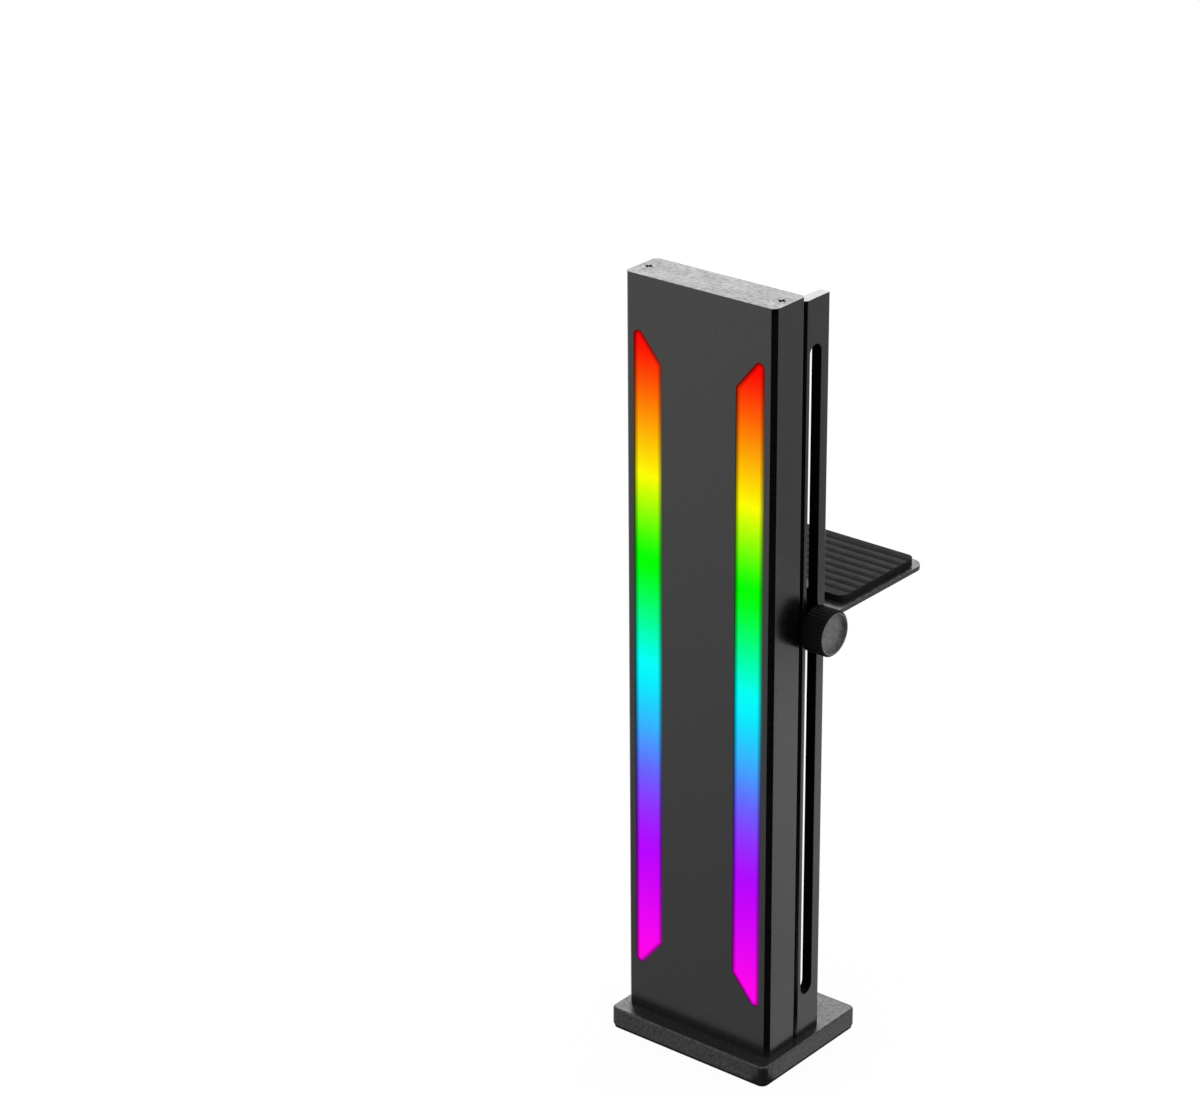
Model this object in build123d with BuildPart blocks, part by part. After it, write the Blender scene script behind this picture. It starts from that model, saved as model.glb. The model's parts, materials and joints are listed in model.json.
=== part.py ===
"""Graphics card support bracket: a slim lit column on a small weighted base.

A carriage with a support arm slides up and down in a rail behind the light box,
and a thumb knob beside the rail clamps it at the height that is wanted.

The frame: millimetres, +Z up, front of the column towards -Y, thumb knob towards +X.
The origin is the centre of the base's underside. Left and right are as seen from the front.
"""
from build123d import *
import math
import os

# Base
base_width = 41.9
base_depth = 33.3
base_plate_thickness = 4.1
base_corner_radius = 1.6
base_top_bevel = 0.3
pad_thickness = 0.8
pad_inset = 0.2
magnet_diameter = 8.0
magnet_thickness = 2.5
magnet_gap = 0.05
magnet_edge_distance = 1.5
front_magnet_setback = 13.5

# Column
column_width = 38.0
column_top = 174.0
column_setback = 3.75
edge_chamfer = 1.0
cap_thickness = 1.2

# Light box
panel_thickness = 2.0
housing_side_wall = 1.5
housing_back_wall = 1.5
housing_floor = 6.0
cap_boss_length = 8.0
cap_boss_diameter = 3.4
cap_screw_inset = 2.3

# Light windows in the front panel, each a strip with slanting ends
window_edge_distance = 2.5
window_width = 7.0
window_foot_distance = 9.5
window_head_distance = 8.6
window_slant = 8.4
window_tip_radius = 1.2
window_gap = 0.05
diffuser_flange_thickness = 1.0
diffuser_flange_margin = 0.8
diffuser_wall_gap = 0.15

# Lighting boards
board_width = 8.0
board_thickness = 1.0
led_board_rise = 6.0
led_board_drop = 2.5
led_count = 10
led_size = 5.0
led_height = 1.6
led_lens_diameter = 4.0
led_lens_depth = 0.3
control_board_lift = 0.4
control_board_gap = 0.2
chip_length = 5.0
chip_width = 4.0
chip_height = 1.5

# Power socket in the left side wall
socket_height = 7.9
socket_thickness = 4.7
socket_length = 7.6
socket_wall = 0.6
socket_cavity_depth = 5.6
socket_lift = 1.0
socket_gap = 0.05
socket_front_gap = 0.1
pin_count = 3
pin_spacing = 2.0
pin_size = 0.5
pin_length = 5.0

# Rail behind the light box
rail_depth = 7.9
rail_web = 1.0
rail_wall = 2.5
rail_lip = 1.1
rail_front_chamfer = 0.45
rail_edge_radius = 0.5
slot_width = 3.8
slot_line = 2.3
slot_foot_distance = 9.9
slot_head_distance = 9.8

# Foot block at the bottom of the rail
foot_block_height = 6.0
foot_block_gap = 0.1
foot_block_setback = 0.3

# Carriage
knob_level = 101.2
slider_below = 4.5
slider_above = 7.4
slider_gap = 0.1
slider_bevel = 0.4
arm_thickness = 1.0
arm_length = 36.0
arm_rise = 0.3
arm_gap = 0.15
arm_upstand_width = 30.0
arm_corner_radius = 3.0
arm_bend_radius = 1.0
bend_relief_width = 1.0
arm_screw_spacing = 14.0
arm_pad_thickness = 1.5
arm_pad_margin = 1.5
arm_pad_start = 8.0
arm_pad_radius = 2.0
upstand_corner_radius = 2.0
arm_screw_gap = 0.4

# Thumb knob and its stud
knob_diameter = 10.0
knob_length = 5.3
knob_bevel = 0.4
knob_rim = 0.4
knob_recess_depth = 0.8
knurl_spacing = 0.9
knurl_depth = 0.2
knurl_radius = 0.4
washer_diameter = 8.0
washer_thickness = 0.5
washer_hole_gap = 0.1
stud_diameter = 3.0
stud_in_knob = 3.5
stud_in_slider = 7.0
stud_bore_gap = 0.05
stud_bore_spare = 1.0
stud_tip_bevel = 0.4
clamp_gap = 0.05

# Screws
small_shank_diameter = 2.0
small_head_diameter = 3.4
small_head_height = 1.0
large_shank_diameter = 3.0
large_head_diameter = 5.6
large_head_height = 1.6
button_shank_diameter = 2.5
button_head_diameter = 4.6
button_head_height = 1.3
cap_screw_length = 8.0
rail_screw_length = 4.0
base_screw_length = 8.0
foot_screw_length = 12.0
arm_screw_length = 6.0
base_screw_spacing = 20.0
rail_screw_end_distance = 25.0
screw_gap = 0.03
screw_tip_gap = 0.4
recess_width_ratio = 0.16
recess_length_ratio = 0.56
recess_depth_ratio = 0.5
driver_socket_ratio = 0.5
button_rim_ratio = 0.3
button_flat_ratio = 0.35

# Each screw's shank diameter, head diameter, head height and length
small_screw = (small_shank_diameter, small_head_diameter, small_head_height)
large_screw = (large_shank_diameter, large_head_diameter, large_head_height)
cap_screw = (*small_screw, cap_screw_length)
rail_screw = (*small_screw, rail_screw_length)
base_screw = (*large_screw, base_screw_length)
foot_screw_size = (*large_screw, foot_screw_length)
arm_screw = (button_shank_diameter, button_head_diameter, button_head_height, arm_screw_length)

# The housing is as deep as what it holds: diffuser flange, power socket, board and back wall
housing_depth = (
    diffuser_flange_thickness + socket_front_gap + socket_thickness + board_thickness + housing_back_wall
)

# Levels and depths that follow from the sizes above
base_top = pad_thickness + base_plate_thickness
shoulder = column_top - cap_thickness
column_front = column_setback - base_depth / 2
panel_back = column_front + panel_thickness
housing_back = panel_back + housing_depth
housing_inside_back = housing_back - housing_back_wall
board_front = housing_inside_back - board_thickness
rail_web_back = housing_back + rail_web
rail_back = housing_back + rail_depth
half_width = column_width / 2
inside_half_width = half_width - housing_side_wall
channel_half_width = half_width - rail_wall
channel_depth = rail_back - rail_web_back
slot_depth_line = rail_web_back + slot_line
window_outer = half_width - window_edge_distance
window_inner = window_outer - window_width
window_centre = (window_outer + window_inner) / 2
window_bottom = base_top + window_foot_distance
window_top = shoulder - window_head_distance
slot_bottom = base_top + slot_foot_distance
slot_top = shoulder - slot_head_distance
column_height = shoulder - base_top
floor_top = base_top + housing_floor
led_board_bottom = window_bottom + led_board_rise
led_board_top = window_top - led_board_drop
control_board_bottom = floor_top + control_board_lift
control_board_middle = (control_board_bottom + led_board_bottom) / 2
floor_line = (panel_back + housing_inside_back) / 2
cap_screw_line = (column_front + housing_back) / 2
cap_screw_reach = half_width - cap_screw_inset


def facing_front(depth):
    """A plane across the column at the given depth, with its normal towards the front."""
    return Plane.XZ.offset(-depth)


def countersunk_form(size, gap=0.0, tip_gap=0.0):
    """A countersunk screw's plain form, its flat top at the origin and its shank down -Z."""
    shank, head, head_height, length = size
    with BuildPart() as form:
        with BuildSketch(Plane.XZ):
            with BuildLine():
                Polyline(
                    (0, 0),
                    (head / 2 + gap, 0),
                    (shank / 2 + gap, -head_height),
                    (shank / 2 + gap, -length - tip_gap),
                    (0, -length - tip_gap),
                    close=True,
                )
            make_face()
        revolve(axis=Axis.Z)
    return form.part


def countersunk_screw(size):
    """A countersunk screw with a cross recess in its head."""
    head = size[1]
    head_height = size[2]
    recess_long = head * recess_length_ratio
    recess_wide = head * recess_width_ratio
    with BuildPart() as screw:
        add(countersunk_form(size))
        with BuildSketch():
            Rectangle(recess_long, recess_wide)
            Rectangle(recess_wide, recess_long)
        extrude(amount=-head_height * recess_depth_ratio, mode=Mode.SUBTRACT)
    return screw.part


def button_form(size, gap=0.0, tip_gap=0.0):
    """A button-head screw's plain form, the seat of its head at the origin and its shank down -Z."""
    shank, head, head_height, length = size
    with BuildPart() as form:
        with BuildSketch(Plane.XZ):
            with BuildLine():
                seat = Line((0, 0), (head / 2 + gap, 0))
                rim = Line(seat @ 1, (head / 2 + gap, head_height * button_rim_ratio))
                top = Line((0, head_height), (head / 2 * button_flat_ratio, head_height))
                TangentArc(top @ 1, rim @ 1, tangent=top % 1)
                Line(top @ 0, seat @ 0)
            make_face()
        revolve(axis=Axis.Z)
        with BuildSketch():
            Circle(shank / 2 + gap)
        extrude(amount=-length - tip_gap)
    return form.part


def button_screw(size):
    """A button-head screw with a hexagon socket."""
    head = size[1]
    head_height = size[2]
    with BuildPart() as screw:
        add(button_form(size))
        with BuildSketch(Plane.XY.offset(head_height)):
            RegularPolygon(head * driver_socket_ratio / 2, 6)
        extrude(amount=-head_height * recess_depth_ratio, mode=Mode.SUBTRACT)
    return screw.part


def mirrored_pair(reach, depth, level):
    """Two places, left and right, at the same depth and level."""
    return [(-reach, depth, level), (reach, depth, level)]


def facing(places, rotation):
    """The places as locations that share one rotation."""
    return [Location(place, rotation) for place in places]


def window_corners(side):
    """The corners of one light window: slanting ends with their tips outward."""
    return [
        (side * window_outer, window_bottom),
        (side * window_outer, window_top),
        (side * window_inner, window_top - window_slant),
        (side * window_inner, window_bottom + window_slant),
    ]


def window_tips(outline):
    """The pointed corners of a light window's outline, at its foot and its head."""
    levels = outline.vertices().group_by(Axis.Y)
    return levels[0] + levels[-1]


def is_at(edge, depth, level):
    """True for an edge whose middle lies at the given depth and level."""
    middle = edge.center()
    return math.isclose(middle.Y, depth, abs_tol=0.001) and math.isclose(middle.Z, level, abs_tol=0.001)


# Directions for screws: the head's flat top faces the named way
head_up = (0, 0, 0)
head_down = (180, 0, 0)
head_back = (-90, 0, 0)

base_screw_reach = base_screw_spacing / 2
foot_line = (rail_web_back + rail_back - foot_block_setback) / 2
base_screw_places = facing(
    mirrored_pair(base_screw_reach, floor_line, pad_thickness)
    + mirrored_pair(base_screw_reach, foot_line, pad_thickness),
    head_down,
)
cap_screw_places = facing(mirrored_pair(cap_screw_reach, cap_screw_line, column_top), head_up)
rail_screw_low = base_top + rail_screw_end_distance
rail_screw_high = shoulder - rail_screw_end_distance
rail_screw_levels = (rail_screw_low, (rail_screw_low + rail_screw_high) / 2, rail_screw_high)
rail_screw_places = facing([(0, rail_web_back, level) for level in rail_screw_levels], head_back)
foot_block_back = rail_back - foot_block_setback
foot_screw_level = base_top + foot_block_height / 2
foot_screw_place = Location((0, foot_block_back, foot_screw_level), head_back)
magnet_inset = magnet_edge_distance + magnet_diameter / 2
rear_magnet_reach = base_width / 2 - magnet_inset
rear_magnet_line = base_depth / 2 - magnet_inset
front_magnet_line = front_magnet_setback - base_depth / 2
magnet_places = mirrored_pair(rear_magnet_reach, rear_magnet_line, pad_thickness)
magnet_places.append((0, front_magnet_line, pad_thickness))

# Base plate, with countersunk holes and magnet pockets in its underside
with BuildPart() as base_plate:
    with BuildSketch(Plane.XY.offset(pad_thickness)):
        RectangleRounded(base_width, base_depth, base_corner_radius)
    extrude(amount=base_plate_thickness)
    chamfer(base_plate.faces().sort_by(Axis.Z)[-1].edges(), length=base_top_bevel)
    with Locations(*base_screw_places):
        add(countersunk_form(base_screw, screw_gap), mode=Mode.SUBTRACT)
    with BuildSketch(Plane.XY.offset(pad_thickness)):
        with Locations(*magnet_places):
            Circle(magnet_diameter / 2 + magnet_gap)
    extrude(amount=magnet_thickness + magnet_gap, mode=Mode.SUBTRACT)
base_plate.part.label = "base_plate"

# Soft pad under the base
with BuildPart() as base_pad:
    with BuildSketch():
        RectangleRounded(base_width - 2 * pad_inset, base_depth - 2 * pad_inset, base_corner_radius)
    extrude(amount=pad_thickness)
base_pad.part.label = "base_pad"

# Disc magnets that hold the base to a steel case floor
with BuildPart() as base_magnets:
    with BuildSketch(Plane.XY.offset(pad_thickness)):
        with Locations(*magnet_places):
            Circle(magnet_diameter / 2)
    extrude(amount=magnet_thickness)
base_magnets.part.label = "base_magnets"

# Screws that hold the light housing and the foot block to the base
with BuildPart() as base_screws:
    with Locations(*base_screw_places):
        add(countersunk_screw(base_screw))
base_screws.part.label = "base_screws"

# Light housing: an open-fronted tray with a thick floor and two bosses for the cap's screws
cap_boss_wall = inside_half_width - cap_screw_reach
socket_middle = floor_top + socket_lift + socket_height / 2
socket_line = board_front - socket_thickness / 2
with BuildPart() as light_housing:
    with BuildSketch(Plane.XY.offset(base_top)):
        with Locations((0, (panel_back + housing_back) / 2)):
            Rectangle(column_width, housing_depth)
    extrude(amount=column_height)
    rear_edges = light_housing.edges().filter_by(Axis.Z).group_by(Axis.Y)[-1]
    chamfer(rear_edges, length=edge_chamfer)
    with BuildSketch(Plane.XY.offset(floor_top)):
        with Locations((0, (panel_back + housing_inside_back) / 2)):
            Rectangle(2 * inside_half_width, housing_inside_back - panel_back)
    extrude(amount=shoulder - floor_top, mode=Mode.SUBTRACT)
    with BuildSketch(Plane.XY.offset(shoulder)):
        with Locations(*[(side * cap_screw_reach, cap_screw_line) for side in (-1, 1)]):
            Circle(cap_boss_diameter / 2)
        with Locations(*[(side * (cap_screw_reach + cap_boss_wall / 2), cap_screw_line) for side in (-1, 1)]):
            Rectangle(cap_boss_wall, cap_boss_diameter)
    extrude(amount=-cap_boss_length)
    with Locations(*cap_screw_places):
        add(countersunk_form(cap_screw, screw_gap, screw_tip_gap), mode=Mode.SUBTRACT)
    with Locations(*base_screw_places):
        add(countersunk_form(base_screw, screw_gap, screw_tip_gap), mode=Mode.SUBTRACT)
    with Locations(*rail_screw_places):
        add(countersunk_form(rail_screw, screw_gap, screw_tip_gap), mode=Mode.SUBTRACT)
    with Locations(foot_screw_place):
        add(countersunk_form(foot_screw_size, screw_gap, screw_tip_gap), mode=Mode.SUBTRACT)
    with BuildSketch(Plane.YZ.offset(-half_width)):
        with Locations((socket_line, socket_middle)):
            Rectangle(socket_thickness + 2 * socket_gap, socket_height + 2 * socket_gap)
    extrude(amount=housing_side_wall, mode=Mode.SUBTRACT)
light_housing.part.label = "light_housing"

# Front panel: one dark sheet with chamfered upright edges and two light windows
with BuildPart() as front_panel:
    with BuildSketch(Plane.XY.offset(base_top)) as panel_outline:
        with Locations((0, (column_front + panel_back) / 2)):
            Rectangle(column_width, panel_thickness)
        chamfer(panel_outline.vertices().group_by(Axis.Y)[0], length=edge_chamfer)
    extrude(amount=column_height)
    for side in (-1, 1):
        with BuildSketch(facing_front(panel_back)) as window:
            with BuildLine():
                Polyline(*window_corners(side), close=True)
            make_face()
            fillet(window_tips(window), radius=window_tip_radius)
            offset(amount=window_gap, kind=Kind.INTERSECTION)
        extrude(amount=panel_thickness, mode=Mode.SUBTRACT)
front_panel.part.label = "front_panel"


def make_diffuser(side):
    """A milky light strip: its face fills the window, its flange lies behind the panel."""
    flange_height = window_top - window_bottom + 2 * diffuser_flange_margin
    flange_outer = inside_half_width - diffuser_wall_gap
    flange_inner = window_inner - diffuser_flange_margin
    with BuildPart() as diffuser:
        with BuildSketch(facing_front(panel_back)) as strip_face:
            with BuildLine():
                Polyline(*window_corners(side), close=True)
            make_face()
            fillet(window_tips(strip_face), radius=window_tip_radius)
        extrude(amount=panel_thickness)
        with BuildSketch(facing_front(panel_back + diffuser_flange_thickness)):
            with Locations((side * (flange_outer + flange_inner) / 2, (window_bottom + window_top) / 2)):
                Rectangle(flange_outer - flange_inner, flange_height)
        extrude(amount=diffuser_flange_thickness)
    return diffuser.part


def make_led_board(side):
    """A narrow circuit board on the housing's back wall, behind one window."""
    with BuildPart() as board:
        with BuildSketch(facing_front(housing_inside_back)):
            with Locations((side * window_centre, (led_board_bottom + led_board_top) / 2)):
                Rectangle(board_width, led_board_top - led_board_bottom)
        extrude(amount=board_thickness)
    return board.part


def make_leds(side):
    """A row of square lamps on the board, each with a round dished lens."""
    pitch = (led_board_top - led_board_bottom) / led_count
    levels = [led_board_bottom + pitch * (index + 0.5) for index in range(led_count)]
    with BuildPart() as leds:
        with BuildSketch(facing_front(board_front)):
            with Locations(*[(side * window_centre, level) for level in levels]):
                Rectangle(led_size, led_size)
        extrude(amount=led_height)
        with BuildSketch(facing_front(board_front - led_height)):
            with Locations(*[(side * window_centre, level) for level in levels]):
                Circle(led_lens_diameter / 2)
        extrude(amount=-led_lens_depth, mode=Mode.SUBTRACT)
    return leds.part


diffuser_left = make_diffuser(-1)
diffuser_left.label = "diffuser_left"
diffuser_right = make_diffuser(1)
diffuser_right.label = "diffuser_right"
led_board_left = make_led_board(-1)
led_board_left.label = "led_board_left"
led_board_right = make_led_board(1)
led_board_right.label = "led_board_right"
leds_left = make_leds(-1)
leds_left.label = "leds_left"
leds_right = make_leds(1)
leds_right.label = "leds_right"

# Control board across the bottom, joined to the lower ends of both lamp boards
with BuildPart() as control_board:
    with BuildSketch(facing_front(housing_inside_back)):
        with Locations((0, control_board_middle)):
            Rectangle(2 * (inside_half_width - control_board_gap), led_board_bottom - control_board_bottom)
    extrude(amount=board_thickness)
control_board.part.label = "control_board"

# Lighting controller chip
with BuildPart() as control_chip:
    with BuildSketch(facing_front(board_front)):
        with Locations((0, control_board_middle)):
            Rectangle(chip_length, chip_width)
    extrude(amount=chip_height)
control_chip.part.label = "control_chip"

# Power socket, open through the housing's left side wall
with BuildPart() as power_socket:
    with BuildSketch(Plane.YZ.offset(-half_width)):
        with Locations((socket_line, socket_middle)):
            Rectangle(socket_thickness, socket_height)
    extrude(amount=socket_length)
    with BuildSketch(Plane.YZ.offset(-half_width)):
        with Locations((socket_line, socket_middle)):
            Rectangle(socket_thickness - 2 * socket_wall, socket_height - 2 * socket_wall)
    extrude(amount=socket_cavity_depth, mode=Mode.SUBTRACT)
power_socket.part.label = "power_socket"

# Contact pins that stand on the socket's floor
with BuildPart() as socket_pins:
    with BuildSketch(Plane.YZ.offset(socket_cavity_depth - half_width)):
        with Locations((socket_line, socket_middle)):
            with GridLocations(pin_spacing, pin_spacing, 1, pin_count):
                Rectangle(pin_size, pin_size)
    extrude(amount=-pin_length)
socket_pins.part.label = "socket_pins"

# Top cap, a plate that covers the front panel and the light housing
with BuildPart() as top_cap:
    with BuildSketch(Plane.XY.offset(shoulder)) as cap_outline:
        with Locations((0, (column_front + housing_back) / 2)):
            Rectangle(column_width, housing_back - column_front)
        chamfer(cap_outline.vertices(), length=edge_chamfer)
    extrude(amount=cap_thickness)
    with Locations(*cap_screw_places):
        add(countersunk_form(cap_screw, screw_gap), mode=Mode.SUBTRACT)
top_cap.part.label = "top_cap"

# Screws of the top cap
with BuildPart() as top_cap_screws:
    with Locations(*cap_screw_places):
        add(countersunk_screw(cap_screw))
top_cap_screws.part.label = "top_cap_screws"

# Rail: a channel open at the back, with a low lip at its left side and a tall wall at
# its right side, which has a through slot for the clamp stud
with BuildPart() as rail:
    with BuildSketch(Plane.XY.offset(base_top)) as rail_profile:
        with Locations((0, (housing_back + rail_back) / 2)):
            Rectangle(column_width, rail_depth)
        chamfer(rail_profile.vertices().group_by(Axis.Y)[0], length=rail_front_chamfer)
        with Locations((0, (rail_web_back + rail_back) / 2)):
            Rectangle(2 * channel_half_width, channel_depth, mode=Mode.SUBTRACT)
        with Locations((-half_width, rail_back)):
            Rectangle(2 * rail_wall, 2 * (channel_depth - rail_lip), mode=Mode.SUBTRACT)
        fillet(rail_profile.vertices().group_by(Axis.Y)[-1], radius=rail_edge_radius)
    extrude(amount=column_height)
    with BuildSketch(Plane.YZ.offset(channel_half_width)):
        with Locations((slot_depth_line, (slot_bottom + slot_top) / 2)):
            SlotOverall(slot_top - slot_bottom, slot_width, rotation=90)
    extrude(amount=rail_wall, mode=Mode.SUBTRACT)
    with Locations(*rail_screw_places):
        add(countersunk_form(rail_screw, screw_gap), mode=Mode.SUBTRACT)
    with Locations(foot_screw_place):
        add(countersunk_form(foot_screw_size, screw_gap), mode=Mode.SUBTRACT)
rail.part.label = "rail"

# Flush screws that hold the rail to the light housing
with BuildPart() as rail_screws:
    with Locations(*rail_screw_places):
        add(countersunk_screw(rail_screw))
rail_screws.part.label = "rail_screws"

# Foot block that ties the rail to the base
with BuildPart() as foot_block:
    with BuildSketch(Plane.XY.offset(base_top)):
        with Locations((0, (rail_web_back + foot_block_back) / 2)):
            Rectangle(2 * (channel_half_width - foot_block_gap), foot_block_back - rail_web_back)
    extrude(amount=foot_block_height)
    with Locations(*base_screw_places):
        add(countersunk_form(base_screw, screw_gap, screw_tip_gap), mode=Mode.SUBTRACT)
    with Locations(foot_screw_place):
        add(countersunk_form(foot_screw_size, screw_gap), mode=Mode.SUBTRACT)
foot_block.part.label = "foot_block"

# Screw through the foot block and the rail into the light housing
with BuildPart() as foot_screw:
    with Locations(foot_screw_place):
        add(countersunk_screw(foot_screw_size))
foot_screw.part.label = "foot_screw"

# Carriage: places that its pieces share
slider_front = rail_web_back + slider_gap
slider_back = rail_back + arm_gap
slider_half_width = channel_half_width - slider_gap
slider_bottom = knob_level - slider_below
slider_top = knob_level + slider_above
arm_top = knob_level + arm_rise
arm_bottom = arm_top - arm_thickness
upstand_back = slider_back + arm_thickness
arm_end = slider_back + arm_length
arm_screw_level = arm_top + arm_bend_radius + arm_screw[1] / 2 + arm_screw_gap
arm_screw_places = facing(
    mirrored_pair(arm_screw_spacing / 2, upstand_back, arm_screw_level),
    head_back,
)

# Slider block that runs in the channel
with BuildPart() as slider_block:
    with BuildSketch(Plane.XY.offset(slider_bottom)):
        with Locations((0, (slider_front + slider_back) / 2)):
            Rectangle(2 * slider_half_width, slider_back - slider_front)
    extrude(amount=slider_top - slider_bottom)
    level_edges = slider_block.faces().filter_by(Axis.Z).edges()
    chamfer(level_edges.filter_by(Axis.X).group_by(Axis.Y)[0], length=slider_bevel)
    with BuildSketch(Plane.YZ.offset(slider_half_width)):
        with Locations((slot_depth_line, knob_level)):
            Circle(stud_diameter / 2 + stud_bore_gap)
    extrude(amount=-stud_in_slider - stud_bore_spare, mode=Mode.SUBTRACT)
    with Locations(*arm_screw_places):
        add(button_form(arm_screw, screw_gap, screw_tip_gap), mode=Mode.SUBTRACT)
slider_block.part.label = "slider_block"

# Support arm: one folded plate, its upstand on the slider block and its leg under the card
relief_reach = (arm_upstand_width + bend_relief_width) / 2
bend_relief_depth = arm_thickness + arm_bend_radius
with BuildPart() as support_arm:
    with BuildSketch(Plane.XY.offset(arm_bottom)) as leg_outline:
        with Locations((0, (slider_back + arm_end) / 2)):
            Rectangle(column_width, arm_length)
        fillet(leg_outline.vertices().group_by(Axis.Y)[-1], radius=arm_corner_radius)
        with Locations(*[(side * relief_reach, slider_back + bend_relief_depth / 2) for side in (-1, 1)]):
            Rectangle(bend_relief_width, bend_relief_depth, mode=Mode.SUBTRACT)
    extrude(amount=arm_thickness)
    with BuildSketch(Plane.XY.offset(arm_bottom)):
        with Locations((0, (slider_back + upstand_back) / 2)):
            Rectangle(arm_upstand_width, arm_thickness)
    extrude(amount=slider_top - arm_bottom)
    crosswise = support_arm.edges().filter_by(Axis.X)
    inner_bend = [edge for edge in crosswise if is_at(edge, upstand_back, arm_top)]
    fillet(inner_bend, radius=arm_bend_radius)
    crosswise = support_arm.edges().filter_by(Axis.X)
    outer_bend = [
        edge
        for edge in crosswise
        if is_at(edge, slider_back, arm_bottom) and abs(edge.center().X) < relief_reach
    ]
    fillet(outer_bend, radius=arm_bend_radius + arm_thickness)
    top_corners = support_arm.edges().filter_by(Axis.Y).group_by(Axis.Z)[-1]
    fillet(top_corners, radius=upstand_corner_radius)
    with Locations(*arm_screw_places):
        add(button_form(arm_screw, screw_gap), mode=Mode.SUBTRACT)
support_arm.part.label = "support_arm"

# Rubber pad that the card rests on
pad_front = slider_back + arm_pad_start
pad_back = arm_end - arm_pad_margin
pad_width = column_width - 2 * arm_pad_margin
with BuildPart() as arm_pad:
    with BuildSketch(Plane.XY.offset(arm_top)):
        with Locations((0, (pad_front + pad_back) / 2)):
            RectangleRounded(pad_width, pad_back - pad_front, arm_pad_radius)
    extrude(amount=arm_pad_thickness)
arm_pad.part.label = "arm_pad"

# Screws that hold the arm to the slider block
with BuildPart() as arm_screws:
    with Locations(*arm_screw_places):
        add(button_screw(arm_screw))
arm_screws.part.label = "arm_screws"

# Washer, knob and stud on one axis across the rail
knob_axis = (slot_depth_line, knob_level)
washer_face = half_width + clamp_gap
knob_face = washer_face + washer_thickness
with BuildPart() as clamp_washer:
    with BuildSketch(Plane.YZ.offset(washer_face)):
        with Locations(knob_axis):
            Circle(washer_diameter / 2)
            Circle(stud_diameter / 2 + washer_hole_gap, mode=Mode.SUBTRACT)
    extrude(amount=washer_thickness)
clamp_washer.part.label = "clamp_washer"

# Thumb knob with a fine straight knurl and a shallow recess in its end
knurl_count = round(math.pi * knob_diameter / knurl_spacing)
knob_end = knob_face + knob_length
knob_recess_radius = knob_diameter / 2 - knob_bevel - knob_rim
with BuildPart() as thumb_knob:
    with BuildSketch(Plane.YZ.offset(knob_face)):
        with Locations(knob_axis):
            Circle(knob_diameter / 2)
    extrude(amount=knob_length)
    chamfer(thumb_knob.edges().filter_by(GeomType.CIRCLE), length=knob_bevel)
    with BuildSketch(Plane.YZ.offset(knob_face)):
        with Locations(knob_axis):
            with PolarLocations(knob_diameter / 2 + knurl_radius - knurl_depth, knurl_count):
                Circle(knurl_radius)
    extrude(amount=knob_length, mode=Mode.SUBTRACT)
    with BuildSketch(Plane.YZ.offset(knob_face)):
        with Locations(knob_axis):
            Circle(stud_diameter / 2 + screw_gap)
    extrude(amount=stud_in_knob, mode=Mode.SUBTRACT)
    with BuildSketch(Plane.YZ.offset(knob_end)):
        with Locations(knob_axis):
            Circle(knob_recess_radius)
    extrude(amount=-knob_recess_depth, mode=Mode.SUBTRACT)
thumb_knob.part.label = "thumb_knob"

# Threaded stud fixed in the knob, drawn at the thread's outer diameter
stud_tip = slider_half_width - stud_in_slider
with BuildPart() as clamp_stud:
    with BuildSketch(Plane.YZ.offset(stud_tip)):
        with Locations(knob_axis):
            Circle(stud_diameter / 2)
    extrude(amount=knob_face + stud_in_knob - stud_tip)
    chamfer(clamp_stud.edges().filter_by(GeomType.CIRCLE).sort_by(Axis.X)[0], length=stud_tip_bevel)
clamp_stud.part.label = "clamp_stud"

# Write one file for each piece
pieces = [
    base_plate.part,
    base_pad.part,
    base_magnets.part,
    base_screws.part,
    light_housing.part,
    front_panel.part,
    diffuser_left,
    diffuser_right,
    led_board_left,
    led_board_right,
    leds_left,
    leds_right,
    control_board.part,
    control_chip.part,
    power_socket.part,
    socket_pins.part,
    top_cap.part,
    top_cap_screws.part,
    rail.part,
    rail_screws.part,
    foot_block.part,
    foot_screw.part,
    slider_block.part,
    support_arm.part,
    arm_pad.part,
    arm_screws.part,
    clamp_washer.part,
    thumb_knob.part,
    clamp_stud.part,
]
os.makedirs("parts", exist_ok=True)
for piece in pieces:
    export_step(piece, f"parts/{piece.label}.step")
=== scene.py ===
"""The look of the graphics card support bracket: finishes, lit strips, light and camera.

Metres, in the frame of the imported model: +Z up, front panel towards -Y, thumb knob towards +X.
"""
import colorsys
import json
import math

import bmesh
import bpy
from mathutils import Matrix, Vector

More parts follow.
